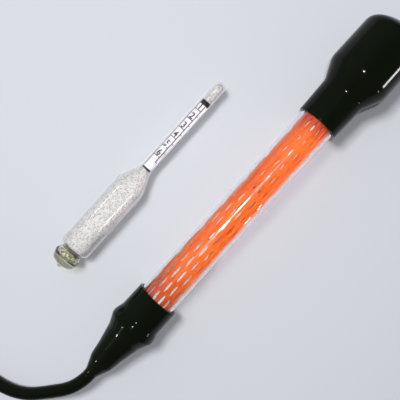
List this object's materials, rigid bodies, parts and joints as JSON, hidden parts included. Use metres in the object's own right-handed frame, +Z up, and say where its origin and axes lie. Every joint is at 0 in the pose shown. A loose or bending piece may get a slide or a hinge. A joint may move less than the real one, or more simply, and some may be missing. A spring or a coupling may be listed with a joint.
{
  "type": "antifreeze tester",
  "caption": "Squeeze-bulb hydrometer with a glass barrel, a float in a plastic net, rubber boot and suction hose, and a larger spare float beside it.",
  "frame": {"origin": "centre of the footprint on the floor, without the hose, with the tester lying on its bulb and boot", "axes": "+X along the tester from its boot to its bulb, +Y to the side where the spare float lies, +Z up"},
  "size_m": [0.3587, 0.1982, 0.0444],
  "materials": {
    "bulb_rubber": "glossy black",
    "boot_rubber": "glossy black",
    "hose_rubber": "glossy black",
    "barrel_glass": "clear",
    "float_glass": "clear",
    "cup_glass": "clear, faintly amber",
    "net_plastic": "satin orange",
    "ballast_metal": "dull metal",
    "sealing_wax": "matt dark",
    "granules": "pale grains",
    "scale_paper": "matt paper",
    "black_print": "matt black"
  },
  "bodies": {
    "barrel": {"barrel_tube": "barrel_glass", "tip_boot": "boot_rubber", "suction_hose": "hose_rubber"},
    "bulb": {"squeeze_bulb": "bulb_rubber"},
    "net": {"protective_net": "net_plastic"},
    "float": {"float_glass": "float_glass", "float_ballast_cup": "cup_glass", "float_ballast": "ballast_metal", "float_seal": "sealing_wax", "float_lining": "granules", "float_scale": "scale_paper", "float_scale_ring": "black_print", "float_scale_band": "black_print", "float_tip_plug": "granules"},
    "spare_float": {"spare_float_glass": "float_glass", "spare_float_ballast_cup": "cup_glass", "spare_float_ballast": "ballast_metal", "spare_float_seal": "sealing_wax", "spare_float_lining": "granules", "spare_float_scale": "scale_paper", "spare_float_scale_ring": "black_print", "spare_float_scale_band": "black_print", "spare_float_tip_plug": "granules"}
  },
  "joints": [
    {"name": "bulb_pull", "type": "slide", "parent": "barrel", "child": "bulb", "axis": [0.9997, 0, 0.0249], "range_m": [0, 0.03]},
    {"name": "net_slide", "type": "slide", "parent": "barrel", "child": "net", "axis": [0.9997, 0, 0.0249], "range_m": [-0.008, 0.06]},
    {"name": "float_slide", "type": "slide", "parent": "barrel", "child": "float", "axis": [0.9997, 0, 0.0249], "range_m": [-0.025, 0.12]},
    {"name": "spare_float_lift", "type": "slide", "parent": "barrel", "child": "spare_float", "axis": [0, 0, 1], "range_m": [0, 0.15]}
  ]
}
